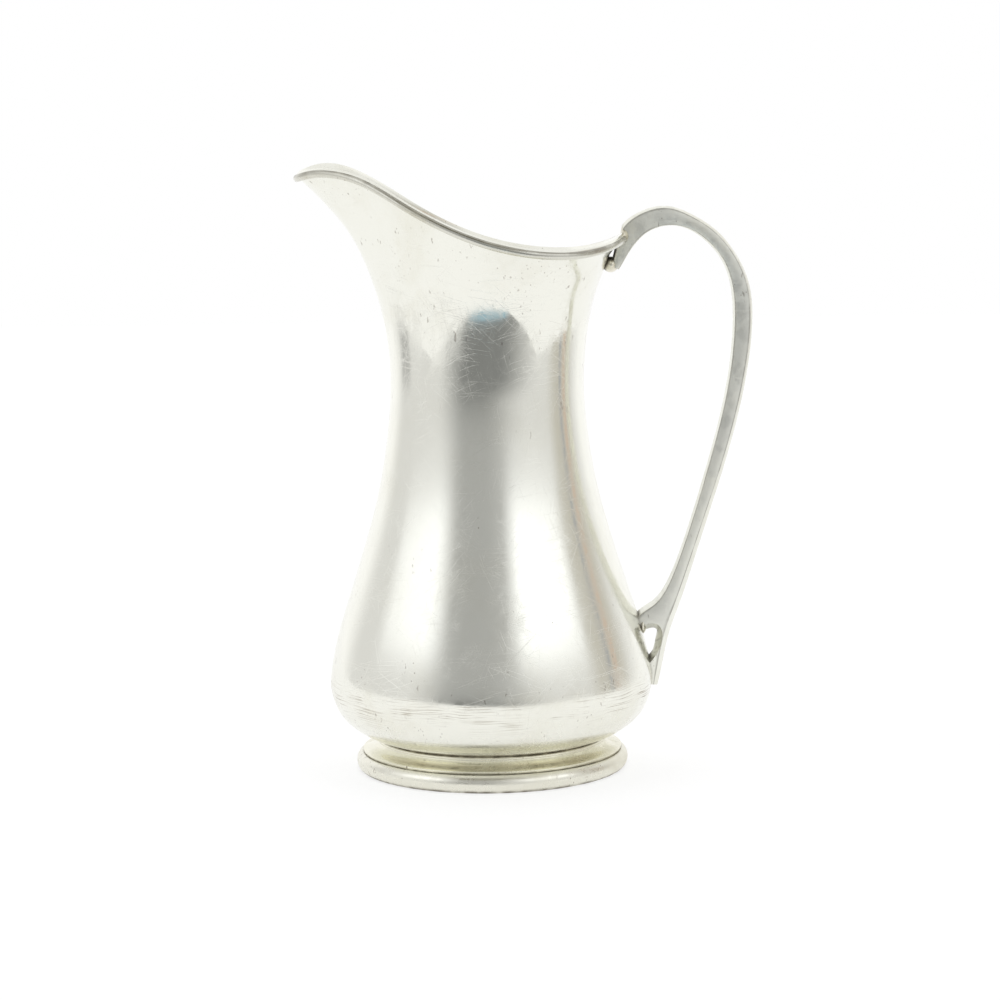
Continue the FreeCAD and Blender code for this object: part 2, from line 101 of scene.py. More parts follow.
# The white table's front edge and right end, in metres: x, and the y it begins at.
TABLE_FRONT = [(-1.17, -0.62), (-1.05, -0.68), (-0.63, -0.585), (-0.36, -0.55), (-0.18, -0.433),
               (-0.04, -0.365), (0.083, -0.305), (0.50, -0.31), (0.54, -0.16), (0.553, 0.064),
               (0.65, 0.38)]
TABLE_CORNER = 0.32                     # the left end leans in by this, towards the back


# --- curves -----------------------------------------------------------------------------------------
def basis(count, at):
    """Values of the clamped uniform cubic B-spline's basis functions at some parameters."""
    knots = np.concatenate([np.zeros(3), np.linspace(0, 1, count - 2), np.ones(3)])
    at = np.clip(np.asarray(at, float), 0, 1 - 1e-12)
    table = ((knots[None, :-1] <= at[:, None]) & (at[:, None] < knots[None, 1:])).astype(float)
    for degree in (1, 2, 3):
        fresh = np.zeros((len(at), len(knots) - 1 - degree))
        for i in range(fresh.shape[1]):
            rise = knots[i + degree] - knots[i]
            fall = knots[i + degree + 1] - knots[i + 1]
            if rise > 0:
                fresh[:, i] += (at - knots[i]) / rise * table[:, i]
            if fall > 0:
                fresh[:, i] += (knots[i + degree + 1] - at) / fall * table[:, i + 1]
        table = fresh
    return table


def cubic(points, at):
    """Points of the clamped B-spline with these control points."""
    return basis(len(points), at) @ np.asarray(points, float)


def through(params, values, at):
    """Cubic spline through values; its end slopes are those of the cubic through four points."""
    t = np.asarray(params, float)
    y = np.asarray(values, float).reshape(len(t), -1)
    n = len(t)
    h = np.diff(t)
    a = np.eye(n)
    b = np.zeros_like(y)
    b[0] = np.polyfit(t[:4] - t[0], y[:4], 3)[-2]
    b[-1] = np.polyfit(t[::-1][:4] - t[-1], y[::-1][:4], 3)[-2]
    for i in range(1, n - 1):
        a[i, i - 1:i + 2] = (h[i], 2.0 * (h[i - 1] + h[i]), h[i - 1])
        b[i] = 3.0 * (h[i] * (y[i] - y[i - 1]) / h[i - 1] + h[i - 1] * (y[i + 1] - y[i]) / h[i])
    m = np.linalg.solve(a, b)
    at = np.asarray(at, float)
    k = np.clip(np.searchsorted(t, at, side="right") - 1, 0, n - 2)
    s = ((at - t[k]) / h[k])[:, None]
    hk = h[k][:, None]
    return ((1 + 2 * s) * (1 - s) ** 2 * y[k] + s * (1 - s) ** 2 * hk * m[k]
            + s * s * (3 - 2 * s) * y[k + 1] + s * s * (s - 1) * hk * m[k + 1])


def unit(v):
    v = np.asarray(v, float)
    return v / np.linalg.norm(v)


def offset(points, distance):
    """Control polygon moved sideways, to the left of its direction."""
    points = np.asarray(points, float)
    along = np.vstack([points[1:], points[-1:]]) - np.vstack([points[:1], points[:-1]])
    along /= np.linalg.norm(along, axis=1)[:, None]
    return points + distance * np.stack([-along[:, 1], along[:, 0]], 1)


def meridian(index):
    """Outer outline of the upper body at one control column."""
    degrees = 360.0 * index / COLUMNS
    if degrees > 180.0:
        degrees -= 360.0
    angles = [-a[0] for a in RIM[:0:-1]] + [a[0] for a in RIM]
    values = [a[1:] for a in RIM[:0:-1]] + [a[1:] for a in RIM]
    radius, height = through(angles, values, [degrees])[0]
    skew = math.exp(-((abs(degrees) - LIP_FLANK) / LIP_FLANK_WIDTH) ** 2)
    height += math.copysign(LIP_SKEW * skew, math.sin(math.radians(degrees)))
    lipness = (1.0 - math.cos(math.radians(degrees))) / 2.0
    waist_r, waist_z = BELLY[-1]
    points = [np.array(p, float) for p in BELLY]
    for rise, at_handle, at_lip in FLARE:
        spread = at_handle + (at_lip - at_handle) * lipness
        points.append(np.array((waist_r + (radius - waist_r) * spread,
                                waist_z + (height - waist_z) * rise)))
    points[-1] = points[-1] + RIM_EDGE * unit(points[-1] - points[-2])
    return np.array(points)


# --- meshes -----------------------------------------------------------------------------------------
def around(sections, count=AROUND):
    """Points of the closed surface through sections (columns, n, 2): (count, n, 3)."""
    columns = len(sections)
    angle = 2 * np.pi * np.arange(columns) / columns
    xyz = np.stack([sections[..., 0] * (np.cos(angle) / SHRINK)[:, None],
                    sections[..., 0] * (np.sin(angle) / SHRINK)[:, None], sections[..., 1]], -1)
    t = np.arange(count) * columns / count
    i = np.floor(t).astype(int)
    f = (t - i)[:, None, None]
    weights = [(1 - f) ** 3 / 6, (3 * f ** 3 - 6 * f ** 2 + 4) / 6,
               (-3 * f ** 3 + 3 * f ** 2 + 3 * f + 1) / 6, f ** 3 / 6]
    return sum(w * xyz[(i + k - 1) % columns] for k, w in enumerate(weights))


def turned(section, count=AROUND):
    """A section (n, 2) turned about the axis."""
    section = np.asarray(section, float)
    angle = (2 * np.pi * np.arange(count) / count)[:, None]
    return np.stack([section[None, :, 0] * np.cos(angle), section[None, :, 0] * np.sin(angle),
                     np.broadcast_to(section[None, :, 1], (count, len(section)))], -1)


def ring_piece(name, grid, material, node, sharp=()):
    """Closed mesh of quads round the axis, from points (count, n, 3) of a closed section."""
    count, n, _ = grid.shape
    verts = (grid * MM).reshape(-1, 3)
    i, j = np.meshgrid(np.arange(count), np.arange(n), indexing="ij")
    i2, j2 = (i + 1) % count, (j + 1) % n
    faces = np.stack([i * n + j, i2 * n + j, i2 * n + j2, i * n + j2], -1).reshape(-1, 4)
    length = np.linalg.norm(np.diff(grid, axis=1, append=grid[:, :1]), axis=2).mean(0)
    v = np.concatenate([[0], np.cumsum(length)]) * MM
    u = np.arange(count + 1) / count * 2 * math.pi * PRINT_R * MM
    uv = np.stack([np.stack([u[i], v[j]], -1), np.stack([u[i + 1], v[j]], -1),
                   np.stack([u[i + 1], v[j + 1]], -1), np.stack([u[i], v[j + 1]], -1)], 2)
    obj = piece(name, verts, faces.tolist(), uv.reshape(-1, 2), material, node)
    crease(obj.data, n, {k % n for k in sharp})
    return obj


def crease(mesh, n, rows):
    """Marks the rings of edges at some points of the section as sharp."""
    for edge in mesh.edges:
        a, b = (v % n for v in edge.vertices)
        if a == b and a in rows:
            edge.use_edge_sharp = True


def piece(name, verts, faces, uv, material, node):
    """A smooth mesh object that stands for a node."""
    mesh = bpy.data.meshes.new(name)
    mesh.from_pydata(verts.tolist(), [], faces)
    mesh.uv_layers.new(name="UVMap").data.foreach_set("uv", np.asarray(uv, float).ravel())
    mesh.update()
    for p in mesh.polygons:
        p.use_smooth = True
    obj = bpy.data.objects.new(name, mesh)
    bpy.context.collection.objects.link(obj)
    outward(mesh)
    mesh.materials.append(material)
    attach(obj, "root")
    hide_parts(node)
    return obj


def outward(mesh):
    """Turns the faces so that the enclosed volume is positive."""
    volume = 0.0
    co = np.zeros(len(mesh.vertices) * 3)
    mesh.vertices.foreach_get("co", co)
    co = co.reshape(-1, 3)
    for p in mesh.polygons:
        ids = list(p.vertices)
        for k in range(1, len(ids) - 1):
            volume += np.dot(co[ids[0]], np.cross(co[ids[k]], co[ids[k + 1]]))
    if volume < 0:
        mesh.flip_normals()


def softened(points, corners, steps=4):
    """A closed polyline with some corners cut back; corners maps a point's index to a radius."""
    out = []
    n = len(points)
    for k in range(n):
        here = np.asarray(points[k], float)
        if k not in corners:
            out.append(here)
            continue
        a, b = points[k - 1] - here, points[(k + 1) % n] - here
        la, lb = np.linalg.norm(a), np.linalg.norm(b)
        r = min(corners[k], 0.45 * la, 0.45 * lb)
        p, q = here + a / la * r, here + b / lb * r
        for t in np.linspace(0, 1, steps + 1):
            out.append((1 - t) ** 2 * p + 2 * t * (1 - t) * here + t * t * q)
    return np.array(out)


# --- node helpers -----------------------------------------------------------------------------------
class Graph:
    """Short names for the shader nodes used here."""

    def __init__(self, tree):
        self.tree = tree
        tree.nodes.clear()

    def node(self, kind, **settings):
        made = self.tree.nodes.new(kind)
        for key, value in settings.items():
            setattr(made, key, value)
        return made

    def put(self, socket, value):
        if isinstance(value, bpy.types.NodeSocket):
            self.tree.links.new(value, socket)
        elif value is not None:
            socket.default_value = value

    def math(self, operation, a, b=None, c=None, clamp=False):
        made = self.node("ShaderNodeMath", operation=operation, use_clamp=clamp)
        for socket, value in zip(made.inputs, (a, b, c)):
            self.put(socket, value)
        return made.outputs[0]

    def ramp(self, value, low, high, to_low=0.0, to_high=1.0, smooth=True):
        made = self.node("ShaderNodeMapRange", interpolation_type="SMOOTHSTEP" if smooth else "LINEAR")
        for socket, v in zip(made.inputs, (value, low, high, to_low, to_high)):
            self.put(socket, v)
        return made.outputs[0]

    def mix(self, factor, a, b):
        made = self.node("ShaderNodeMix", data_type="RGBA")
        self.put(made.inputs[0], factor)
        self.put(made.inputs[6], a)
        self.put(made.inputs[7], b)
        return made.outputs[2]

    def noise(self, vector, scale, detail=2.0, rough=0.5, distortion=0.0):
        made = self.node("ShaderNodeTexNoise")
        self.put(made.inputs["Vector"], vector)
        made.inputs["Scale"].default_value = scale
        made.inputs["Detail"].default_value = detail
        made.inputs["Roughness"].default_value = rough
        made.inputs["Distortion"].default_value = distortion
        return made.outputs["Fac"]

    def voronoi(self, vector, scale, feature="F1", output="Distance"):
        made = self.node("ShaderNodeTexVoronoi", feature=feature)
        self.put(made.inputs["Vector"], vector)
        made.inputs["Scale"].default_value = scale
        return made.outputs[output]

    def mapping(self, vector, turn=0.0, scale=(1, 1, 1), shift=(0, 0, 0), kind="POINT"):
        made = self.node("ShaderNodeMapping", vector_type=kind)
        self.put(made.inputs["Vector"], vector)
        made.inputs["Rotation"].default_value = (0, 0, turn)
        made.inputs["Scale"].default_value = scale
        made.inputs["Location"].default_value = shift
        return made.outputs[0]


def grey(v):
    return (v, v, v, 1.0)


# --- materials --------------------------------------------------------------------------------------
# Lines in the silver: turn in radians, length and width in millimetres, amount.
FINE_LINES = [(0.35, 30, 0.20, 0.345), (1.9, 22, 0.18, 0.335), (2.6, 36, 0.20, 0.34),
              (1.25, 20, 0.18, 0.33), (0.8, 44, 0.22, 0.335), (0.05, 40, 0.20, 0.35)]
BOLD_LINES = [(0.12, 40, 0.24, 0.262), (2.2, 24, 0.20, 0.252), (1.45, 28, 0.22, 0.256),
              (2.9, 26, 0.20, 0.258)]
WIPES = [(0.9, 60, 5.0, 0.52), (2.4, 50, 4.0, 0.50), (1.5, 80, 3.0, 0.50)]
LINE_SOFTNESS = 0.09

# Heights in metres between which something fades in.
WORN_ABOVE, WORN_BELOW = (0.148, 0.172), (0.052, 0.038)
BAND_BOTTOM, BAND_TOP, BAND_FADE = (0.024, 0.030), (0.037, 0.032), (0.040, 0.030)
SOFTER_BELOW = (0.135, 0.09)

TARNISH_TINT = (0.80, 0.77, 0.68)
SMEAR_BROWN = (0.25, 0.19, 0.12, 1)
LINE_BROWN = (0.30, 0.27, 0.22, 1)
PIT_BROWN = (0.22, 0.18, 0.14, 1)
# Painted shade along the marked edges of the rim wire and the handle.
EDGE_SHADE_BROWN = (0.20, 0.185, 0.15, 1)
CREVICE_BROWN = (0.13, 0.105, 0.075, 1)
CREVICE_REACH = 0.0022


def bent(g, uv):
    """Surface coordinates with gentle swirls."""
    bend = g.node("ShaderNodeTexNoise")
    g.put(bend.inputs["Vector"], uv)
    bend.inputs["Scale"].default_value = 45.0
    swirl = g.node("ShaderNodeVectorMath", operation="MULTIPLY_ADD")
    g.put(swirl.inputs[0], bend.outputs["Color"])
    swirl.inputs[1].default_value = (0.004, 0.004, 0.0)
    g.put(swirl.inputs[2], uv)
    return swirl.outputs[0]


def scratches(g, swirled, layers):
    """Lines in many directions, 0 to 1. layers holds (turn, length, width, amount)."""
    total = None
    for k, (turn, length, width, amount) in enumerate(layers):
        v = g.mapping(swirled, turn=turn, scale=(length * MM, width * MM, 1.0),
                      shift=(0.37 * k, 0.19 * k, 0), kind="TEXTURE")
        streak = g.noise(v, 1.0, detail=1.5)
        line = g.ramp(streak, 1.0 - amount, 1.0 - amount + LINE_SOFTNESS)
        total = line if total is None else g.math("MAXIMUM", total, line)
    return total


def pitting(g, where, worn):
    """Small round pits and flecks in loose groups, 0 to 1."""
    busy = g.math("MULTIPLY", worn, 0.125)
    sparse = g.ramp(g.math("ADD", g.noise(where, 90.0, detail=3.0), busy), 0.60, 0.72)
    dots = g.ramp(g.voronoi(g.mapping(where, scale=(1, 1, 0.7)), 520.0), 0.16, 0.07)
    flecks = g.ramp(g.noise(g.mapping(where, scale=(1, 1, 0.35)), 620.0, detail=2.0), 0.66, 0.72)
    return g.math("MULTIPLY", g.math("MAXIMUM", dots, flecks), sparse)


def film(g, where, worn, tarnish):
    """Cloudy dull film, thicker where the silver is worn."""
    clouds = g.ramp(g.noise(where, 26.0, detail=6.0, rough=0.65), 0.46, 0.74)
    dull = g.math("MULTIPLY", clouds, g.math("MULTIPLY_ADD", worn, 0.6, 0.4))
    return g.math("MULTIPLY", dull, tarnish, clamp=True)


def crevices(g, where, amount):
    """Dirt that stays in the corners, 0 to 1."""
    shade = g.node("ShaderNodeAmbientOcclusion", samples=6)
    shade.inputs["Distance"].default_value = CREVICE_REACH
    corner = g.math("MULTIPLY", g.ramp(shade.outputs["AO"], 0.75, 0.25), amount)
    return g.math("MULTIPLY", corner, g.ramp(g.noise(where, 240.0, detail=3.0), 0.25, 0.62, 0.35, 1.0))


def smears(g, swirled, where, height, amount):
    """Broken level lines of tarnish round the lower belly, 0 to 1."""
    smear = g.noise(g.mapping(swirled, scale=(0.017, 0.0003, 1), kind="TEXTURE"), 1.0, detail=5.0)
    band = g.math("MULTIPLY", g.ramp(height, *BAND_BOTTOM), g.ramp(height, *BAND_TOP))
    band = g.math("MULTIPLY_ADD", band, 0.8, g.math("MULTIPLY", g.ramp(height, *BAND_FADE), 0.2))
    broken = g.ramp(g.noise(where, 60.0, detail=3.0), 0.38, 0.58)
    return g.math("MULTIPLY", g.math("MULTIPLY", g.ramp(smear, 0.53, 0.66), band),
                  g.math("MULTIPLY", broken, amount))


def painted_edge_shade(g, where, amount):
    """Painted shade along the edges that a mesh marks in its attribute edge, 0 to 1."""
    marked = g.node("ShaderNodeAttribute", attribute_name="edge").outputs["Fac"]
    patchy = g.ramp(g.noise(where, 160.0, detail=4.0), 0.3, 0.6, 0.45, 1.0)
    return g.math("MULTIPLY", g.math("MULTIPLY", marked, patchy), amount)


def silver(name, base=(0.888, 0.884, 0.812), rough=0.13, wear=1.0, tarnish=0.15, pits=0.5, relief=0.0,
           crevice=0.6, low_band=0.0, edges=0.0):
    """Polished and handled silver: fine scratches, faint haze, pits and tarnish in the corners."""
    material = bpy.data.materials.new(name)
    material.use_nodes = True
    g = Graph(material.node_tree)
    coords = g.node("ShaderNodeTexCoord")
    where = coords.outputs["Object"]
    split = g.node("ShaderNodeSeparateXYZ")
    g.put(split.inputs[0], where)
    height = split.outputs[2]
    worn = g.math("MAXIMUM", g.ramp(height, *WORN_ABOVE), g.ramp(height, *WORN_BELOW), clamp=True)

    swirled = bent(g, coords.outputs["UV"])
    bold = scratches(g, swirled, BOLD_LINES)
    patch = g.ramp(g.noise(where, 38.0, detail=3.0), 0.36, 0.64)
    fine = g.math("MULTIPLY", scratches(g, swirled, FINE_LINES), g.math("MULTIPLY_ADD", patch, 0.6, 0.4))
    lines = g.math("MAXIMUM", fine, bold)
    specks = pitting(g, where, worn)
    dull = film(g, where, worn, tarnish)
    corner = crevices(g, where, crevice)

    colour = g.mix(dull, (*base, 1), (*(b * t for b, t in zip(base, TARNISH_TINT)), 1))
    colour = g.mix(smears(g, swirled, where, height, low_band), colour, SMEAR_BROWN)
    colour = g.mix(g.math("MULTIPLY", bold, 0.18), colour, LINE_BROWN)
    colour = g.mix(g.math("MULTIPLY", specks, pits), colour, PIT_BROWN)
    # Painted shade along the edges marked in the attribute edge.
    if edges:
        colour = g.mix(painted_edge_shade(g, where, edges), colour, EDGE_SHADE_BROWN)
    colour = g.mix(corner, colour, CREVICE_BROWN)

    roughness = g.math("MULTIPLY_ADD", g.noise(where, 14.0, detail=4.0), 0.09, rough - 0.045)
    roughness = g.math("ADD", roughness, g.math("MULTIPLY", g.ramp(height, *SOFTER_BELOW), 0.05))
    haze = g.ramp(g.noise(where, 75.0, detail=6.0, rough=0.7), 0.50, 0.70)
    roughness = g.math("ADD", roughness, g.math("MULTIPLY", haze, 0.10 * wear))
    wiped = scratches(g, swirled, WIPES)
    roughness = g.math("ADD", roughness, g.math("MULTIPLY", wiped, 0.08))
    roughness = g.math("ADD", roughness, g.math("MULTIPLY", lines, 0.22 * wear))
    roughness = g.math("ADD", roughness, g.math("MULTIPLY", dull, 0.22))
    roughness = g.math("ADD", roughness, g.math("MULTIPLY", corner, 0.35), clamp=True)

    grain = g.math("MULTIPLY", g.noise(where, 950.0, detail=3.0), relief)
    rise = g.math("MULTIPLY_ADD", lines, -0.6 * wear, grain)
    rise = g.math("ADD", rise, g.math("MULTIPLY", g.noise(where, 55.0, detail=1.0), 1.1))
    rise = g.math("SUBTRACT", rise, specks)
    bump = g.node("ShaderNodeBump")
    bump.inputs["Strength"].default_value = 0.4
    bump.inputs["Distance"].default_value = 0.00004
    g.put(bump.inputs["Height"], rise)

    shader = g.node("ShaderNodeBsdfPrincipled")
    shader.inputs["Metallic"].default_value = 1.0
    g.put(shader.inputs["Base Color"], colour)
    g.put(shader.inputs["Roughness"], roughness)
    g.put(shader.inputs["Normal"], bump.outputs[0])
    out = g.node("ShaderNodeOutputMaterial")
    g.put(out.inputs["Surface"], shader.outputs[0])
    return material


BODY = silver("polished_body", rough=0.035, tarnish=0.36, low_band=1.0)
BOWL_M = silver("polished_bowl", rough=0.09, tarnish=0.3, low_band=0.3)
# The rim wire's darker base colour and heavy tarnish are partly its own tarnish and partly painted shade
# and painted reflection of the dim room.
RIM_SHADED_M = silver("rim_wire_silver_painted_shade", base=(0.70, 0.69, 0.62), rough=0.17, tarnish=0.8, pits=0.8,
               crevice=0.9, edges=0.8)
FOOT_M = silver("foot_silver", base=(0.83, 0.815, 0.72), rough=0.16, tarnish=0.5, pits=0.8, crevice=0.9)
COVE_M = silver("foot_cove_silver", base=(0.85, 0.83, 0.70), rough=0.08, tarnish=0.5, pits=0.8,
                crevice=0.9)
# Its edges setting paints shade along the handle's long edges.
CAST = silver("cast_handle_silver", base=(0.895, 0.895, 0.825), rough=0.36, tarnish=0.5, pits=0.5,
              relief=3.6, crevice=0.8, edges=0.75)
SOLDER = silver("solder_silver", base=(0.82, 0.79, 0.68), rough=0.22, tarnish=0.9, pits=0.9, relief=2.0,
                crevice=0.9)


# --- pieces -----------------------------------------------------------------------------------------
BODY_ROWS, MOUTH_SOFTNESS = 145, 0.14
ARC_POINTS = 23                         # of the rim wire's round side
BOWL_POINTS = 110                       # of the bowl's outside
HANDLE_ROWS, SHARP_ANGLE = 330, 38
CROWN = np.linspace(0, 1, 13)[:, None]  # parameter across the handle's crowned back
SIDE_COLUMN = 12                        # a control column square to the lip and the handle
COLUMN_POINTS = np.array([meridian(i) for i in range(COLUMNS)])
INNER_POINTS = np.array([offset(p, WALL) for p in COLUMN_POINTS])
INNER_POINTS[:, 0, 1] = SEAM_Z


def body_sheet():
    """The raised sheet, outside, edge and inside, with the mouth's edge a little rounded."""
    rows = np.linspace(0, 1, BODY_ROWS)
    outer = np.einsum("nm,cmk->cnk", basis(COLUMN_POINTS.shape[1], rows), COLUMN_POINTS)
    inner = np.einsum("nm,cmk->cnk", basis(COLUMN_POINTS.shape[1], rows[::-2]), INNER_POINTS)
    edge = inner[:, :1] - outer[:, -1:]
    edge /= np.linalg.norm(edge, axis=2, keepdims=True)
    down = outer[:, -2:-1] - outer[:, -1:]
    down /= np.linalg.norm(down, axis=2, keepdims=True)
    soft = MOUTH_SOFTNESS
    corner = [outer[:, :-1], outer[:, -1:] + down * soft, outer[:, -1:] + (down + edge) * soft * 0.3,
              outer[:, -1:] + edge * soft, inner[:, :1] - edge * soft * 2,
              inner[:, :1] + (down - edge) * soft * 0.6, inner[:, :1] + down * soft * 2, inner[:, 1:]]
    sections = np.concatenate(corner, axis=1)
    ring_piece("body_sheet", around(sections), BODY, "upper_body", sharp=(0, -1))


def rim_bead():
    """Half-round wire outside the mouth's edge, with painted shade along both of its edges."""
    sections = []
    for points in COLUMN_POINTS:
        fine = cubic(points, np.linspace(0.8, 1.0, 160))
        run = np.concatenate([[0], np.cumsum(np.linalg.norm(np.diff(fine, axis=0), axis=1))])
        below = run[-1] - run
        seat = [np.interp(-d, -below, fine[:, k]) for d in np.linspace(0, BEAD_FOOT, 5) for k in (0, 1)]
        back = np.array(seat).reshape(5, 2)
        top, foot = back[0], back[-1]
        along = unit(top - foot)
        out = np.array((along[1], -along[0]))
        half = np.linalg.norm(top - foot) / 2.0
        lean = math.acos(half / BEAD_R)
        a = np.linspace(-lean, math.pi + lean, ARC_POINTS)[:, None]
        arc = (foot + along * (half - BEAD_R * np.cos(a))
               + out * (BEAD_R * math.sin(lean) + BEAD_R * np.sin(a)))
        sections.append(np.concatenate([arc, back[1:-1]]))
    bead = ring_piece("rim_bead", around(np.array(sections)), RIM_SHADED_M, "rim_wire",
                      sharp=(0, ARC_POINTS - 1))
    # Painted shade: the wire is darkened where it meets the sheet below, and over its upper side up to the
    # sheet's edge.
    dark = np.zeros(len(sections[0]))
    dark[:5] = (1.0, 0.9, 0.4, 0.1, 0.0)
    dark[15:ARC_POINTS] = (0.1, 0.3, 0.45, 0.55, 0.7, 0.85, 1.0, 1.0)
    values = np.tile(dark, len(bead.data.vertices) // len(dark))
    bead.data.attributes.new("edge", "FLOAT", "POINT").data.foreach_set("value", values)


def at_radius(points, radius, low, high):
    """Parameter where an outline that runs outwards reaches a radius."""
    t = np.linspace(low, high, 4000)
    return float(np.interp(radius, cubic(points, t)[:, 0], t))


def at_height(points, height, low, high):
    """Parameter where an outline that runs upwards reaches a height."""
    t = np.linspace(low, high, 4000)
    return float(np.interp(height, cubic(points, t)[:, 1], t))


def bowl_sheet():
    """The spun bowl with its lap, a closed section that touches the axis at both ends."""
    seam = at_height(BOWL, SEAM_Z - SEAM_BAND, 0.8, 1.0)
    outer = cubic(BOWL, np.linspace(0.0, seam, BOWL_POINTS))
    body_in = INNER_POINTS[SIDE_COLUMN]
    lap_v = at_height(body_in, SEAM_Z + LAP, 0.0, 0.3)
    lap = cubic(body_in, np.linspace(0, lap_v, 8)) - (0.02, 0)
    inner_points = offset(BOWL, WALL)
    inner_points[0] = (0, BOWL[0][1] + WALL)
    inner = cubic(inner_points, np.linspace(0, 1, 90))
    section = np.concatenate([outer, [(outer[-1, 0] - SEAM_DEPTH, SEAM_Z)], lap,
                              lap[::-1] - (LAP_T, 0), inner[::-1]])
    section[0, 0] = section[-1, 0] = 0.0
    grid = turned(section)
    count, n, _ = grid.shape
    verts = np.concatenate([grid[:, 1:-1].reshape(-1, 3), grid[:1, 0], grid[:1, -1]]) * MM
    n -= 2
    first, last = count * n, count * n + 1
    i, j = np.meshgrid(np.arange(count), np.arange(n - 1), indexing="ij")
    i2 = (i + 1) % count
    faces = np.stack([i * n + j, i2 * n + j, i2 * n + j + 1, i * n + j + 1], -1).reshape(-1, 4).tolist()
    step = np.linalg.norm(np.diff(section, axis=0), axis=1)
    v = np.concatenate([[0], np.cumsum(step)]) * MM
    u = np.arange(count + 1) / count * 2 * math.pi * PRINT_R * MM
    uv = np.stack([np.stack([u[i], v[j + 1]], -1), np.stack([u[i + 1], v[j + 1]], -1),
                   np.stack([u[i + 1], v[j + 2]], -1), np.stack([u[i], v[j + 2]], -1)], 2)
    uv = uv.reshape(-1, 2).tolist()
    for k in range(count):
        k2 = (k + 1) % count
        faces.append([first, k2 * n, k * n])
        uv += [(u[k], 0.0), (u[k + 1], v[1]), (u[k], v[1])]
        faces.append([last, k * n + n - 1, k2 * n + n - 1])
        uv += [(u[k], v[-1]), (u[k], v[-2]), (u[k + 1], v[-2])]
    bowl = piece("bowl_sheet", verts, faces, uv, BOWL_M, "lower_bowl")
    for edge in bowl.data.edges:
        if all(v < first and v % n == BOWL_POINTS - 2 for v in edge.vertices):
            edge.use_edge_sharp = True


def seam_ring():
    """Solder in the groove at the belly, filed flush."""
    seam = at_height(BOWL, SEAM_Z - SEAM_BAND, 0.8, 1.0)
    outer = cubic(BOWL, np.linspace(seam, 1.0, 7))
    root = (outer[0, 0] - SEAM_DEPTH, SEAM_Z)
    ring_piece("seam_ring", turned(np.concatenate([outer, [root]])), BODY, "belly_seam_solder",
               sharp=(0, 6, 7))


def foot_cove():
    """Spun collar between the bowl and the base ring."""
    cove = cubic(COLLAR_COVE, np.linspace(0, 1, 28))
    neck = cubic(COLLAR_NECK, np.linspace(0, 1, 10))
    rest = at_radius(BOWL, COLLAR_NECK[-1][0] - 0.5, 0.4, 0.9)
    shoulder = at_radius(BOWL, COLLAR_TOP_R, 0.4, 0.8)
    contact = cubic(BOWL, np.linspace(rest, shoulder, 8))
    under = cubic(COLLAR_UNDER + [contact[-1]], np.linspace(1, 0, 24))
    flange = [(GROOVE_R - 0.12, RING_TOP_Z), (GROOVE_R, RING_TOP_Z + 0.1)]
    lip = [cove[0] + (-0.06, -0.10), cove[0] + (-0.02, -0.03)]
    section = np.concatenate([flange, lip, cove[1:], neck[1:], contact, under[1:]])
    ring_piece("foot_cove", turned(section), COVE_M, "foot_collar")


def foot_ring():
    """Heavy ring that the pitcher stands on."""
    bead = cubic(RING_OUTER, np.linspace(0, 1, 34))
    section = np.concatenate([
        [(RING_INNER_R, 0.25), (RING_INNER_R + 0.07, 0.07), (RING_INNER_R + 0.25, 0.0)],
        bead[:1] - (0.3, 0), bead, [(GROOVE_R + 0.1, RING_TOP_Z - 0.02), (GROOVE_R - 0.1, RING_TOP_Z),
                                    (RING_INNER_R + 0.2, RING_TOP_Z), (RING_INNER_R, RING_TOP_Z - 0.2)]])
    ring_piece("foot_ring", turned(section), FOOT_M, "base_ring")


def plug():
    """What fills the vessel and the rim wire on the handle's side, for cutting the handle to fit."""
    sections = []
    for points in COLUMN_POINTS:
        fine = cubic(points, np.linspace(0, 1, 700))
        run = np.concatenate([[0], np.cumsum(np.linalg.norm(np.diff(fine, axis=0), axis=1))])
        foot, top = (np.array([np.interp(run[-1] - d, run, fine[:, k]) for k in (0, 1)])
                     for d in (BEAD_FOOT, 0.0))
        along = unit(top - foot)
        out = np.array((along[1], -along[0]))
        half = np.linalg.norm(top - foot) / 2.0
        lean = math.acos(half / BEAD_R)
        a = np.linspace(math.radians(10), math.pi + lean, 12)[:, None]
        radius = BEAD_R + FIT_GAP
        arc = (foot + along * (half - radius * np.cos(a))
               + out * (BEAD_R * math.sin(lean) + radius * np.sin(a)))
        stretch = np.linspace(0, run[-1] - BEAD_FOOT - FIT_TAPER + 0.4, 90)
        wall = [np.interp(d, run, fine[:, k]) for d in stretch for k in (0, 1)]
        inside = foot + along * (2.0 * half + FIT_GAP) + out * (0.2 - WALL)
        sections.append(np.concatenate([np.array(wall).reshape(-1, 2), arc,
                                        [inside, inside + (0, 6), (5, inside[1] + 6), (5, points[0][1])]]))
    sector = around(np.array(sections), 6 * COLUMNS)
    grid = np.concatenate([sector[-18:], sector[:19]])
    rows, n, _ = grid.shape
    faces = [[i * n + j, (i + 1) * n + j, (i + 1) * n + (j + 1) % n, i * n + (j + 1) % n]
             for i in range(rows - 1) for j in range(n)]
    faces += [list(range(n))[::-1], [(rows - 1) * n + j for j in range(n)]]
    return tool("plug", grid.reshape(-1, 3), faces)


def tool(name, verts, faces):
    """A mesh that cuts another and isn't shown."""
    mesh = bpy.data.meshes.new(name)
    mesh.from_pydata((np.asarray(verts) * MM).tolist(), [], faces)
    mesh.update()
    outward(mesh)
    obj = bpy.data.objects.new(name, mesh)
    bpy.context.collection.objects.link(obj)
    return obj


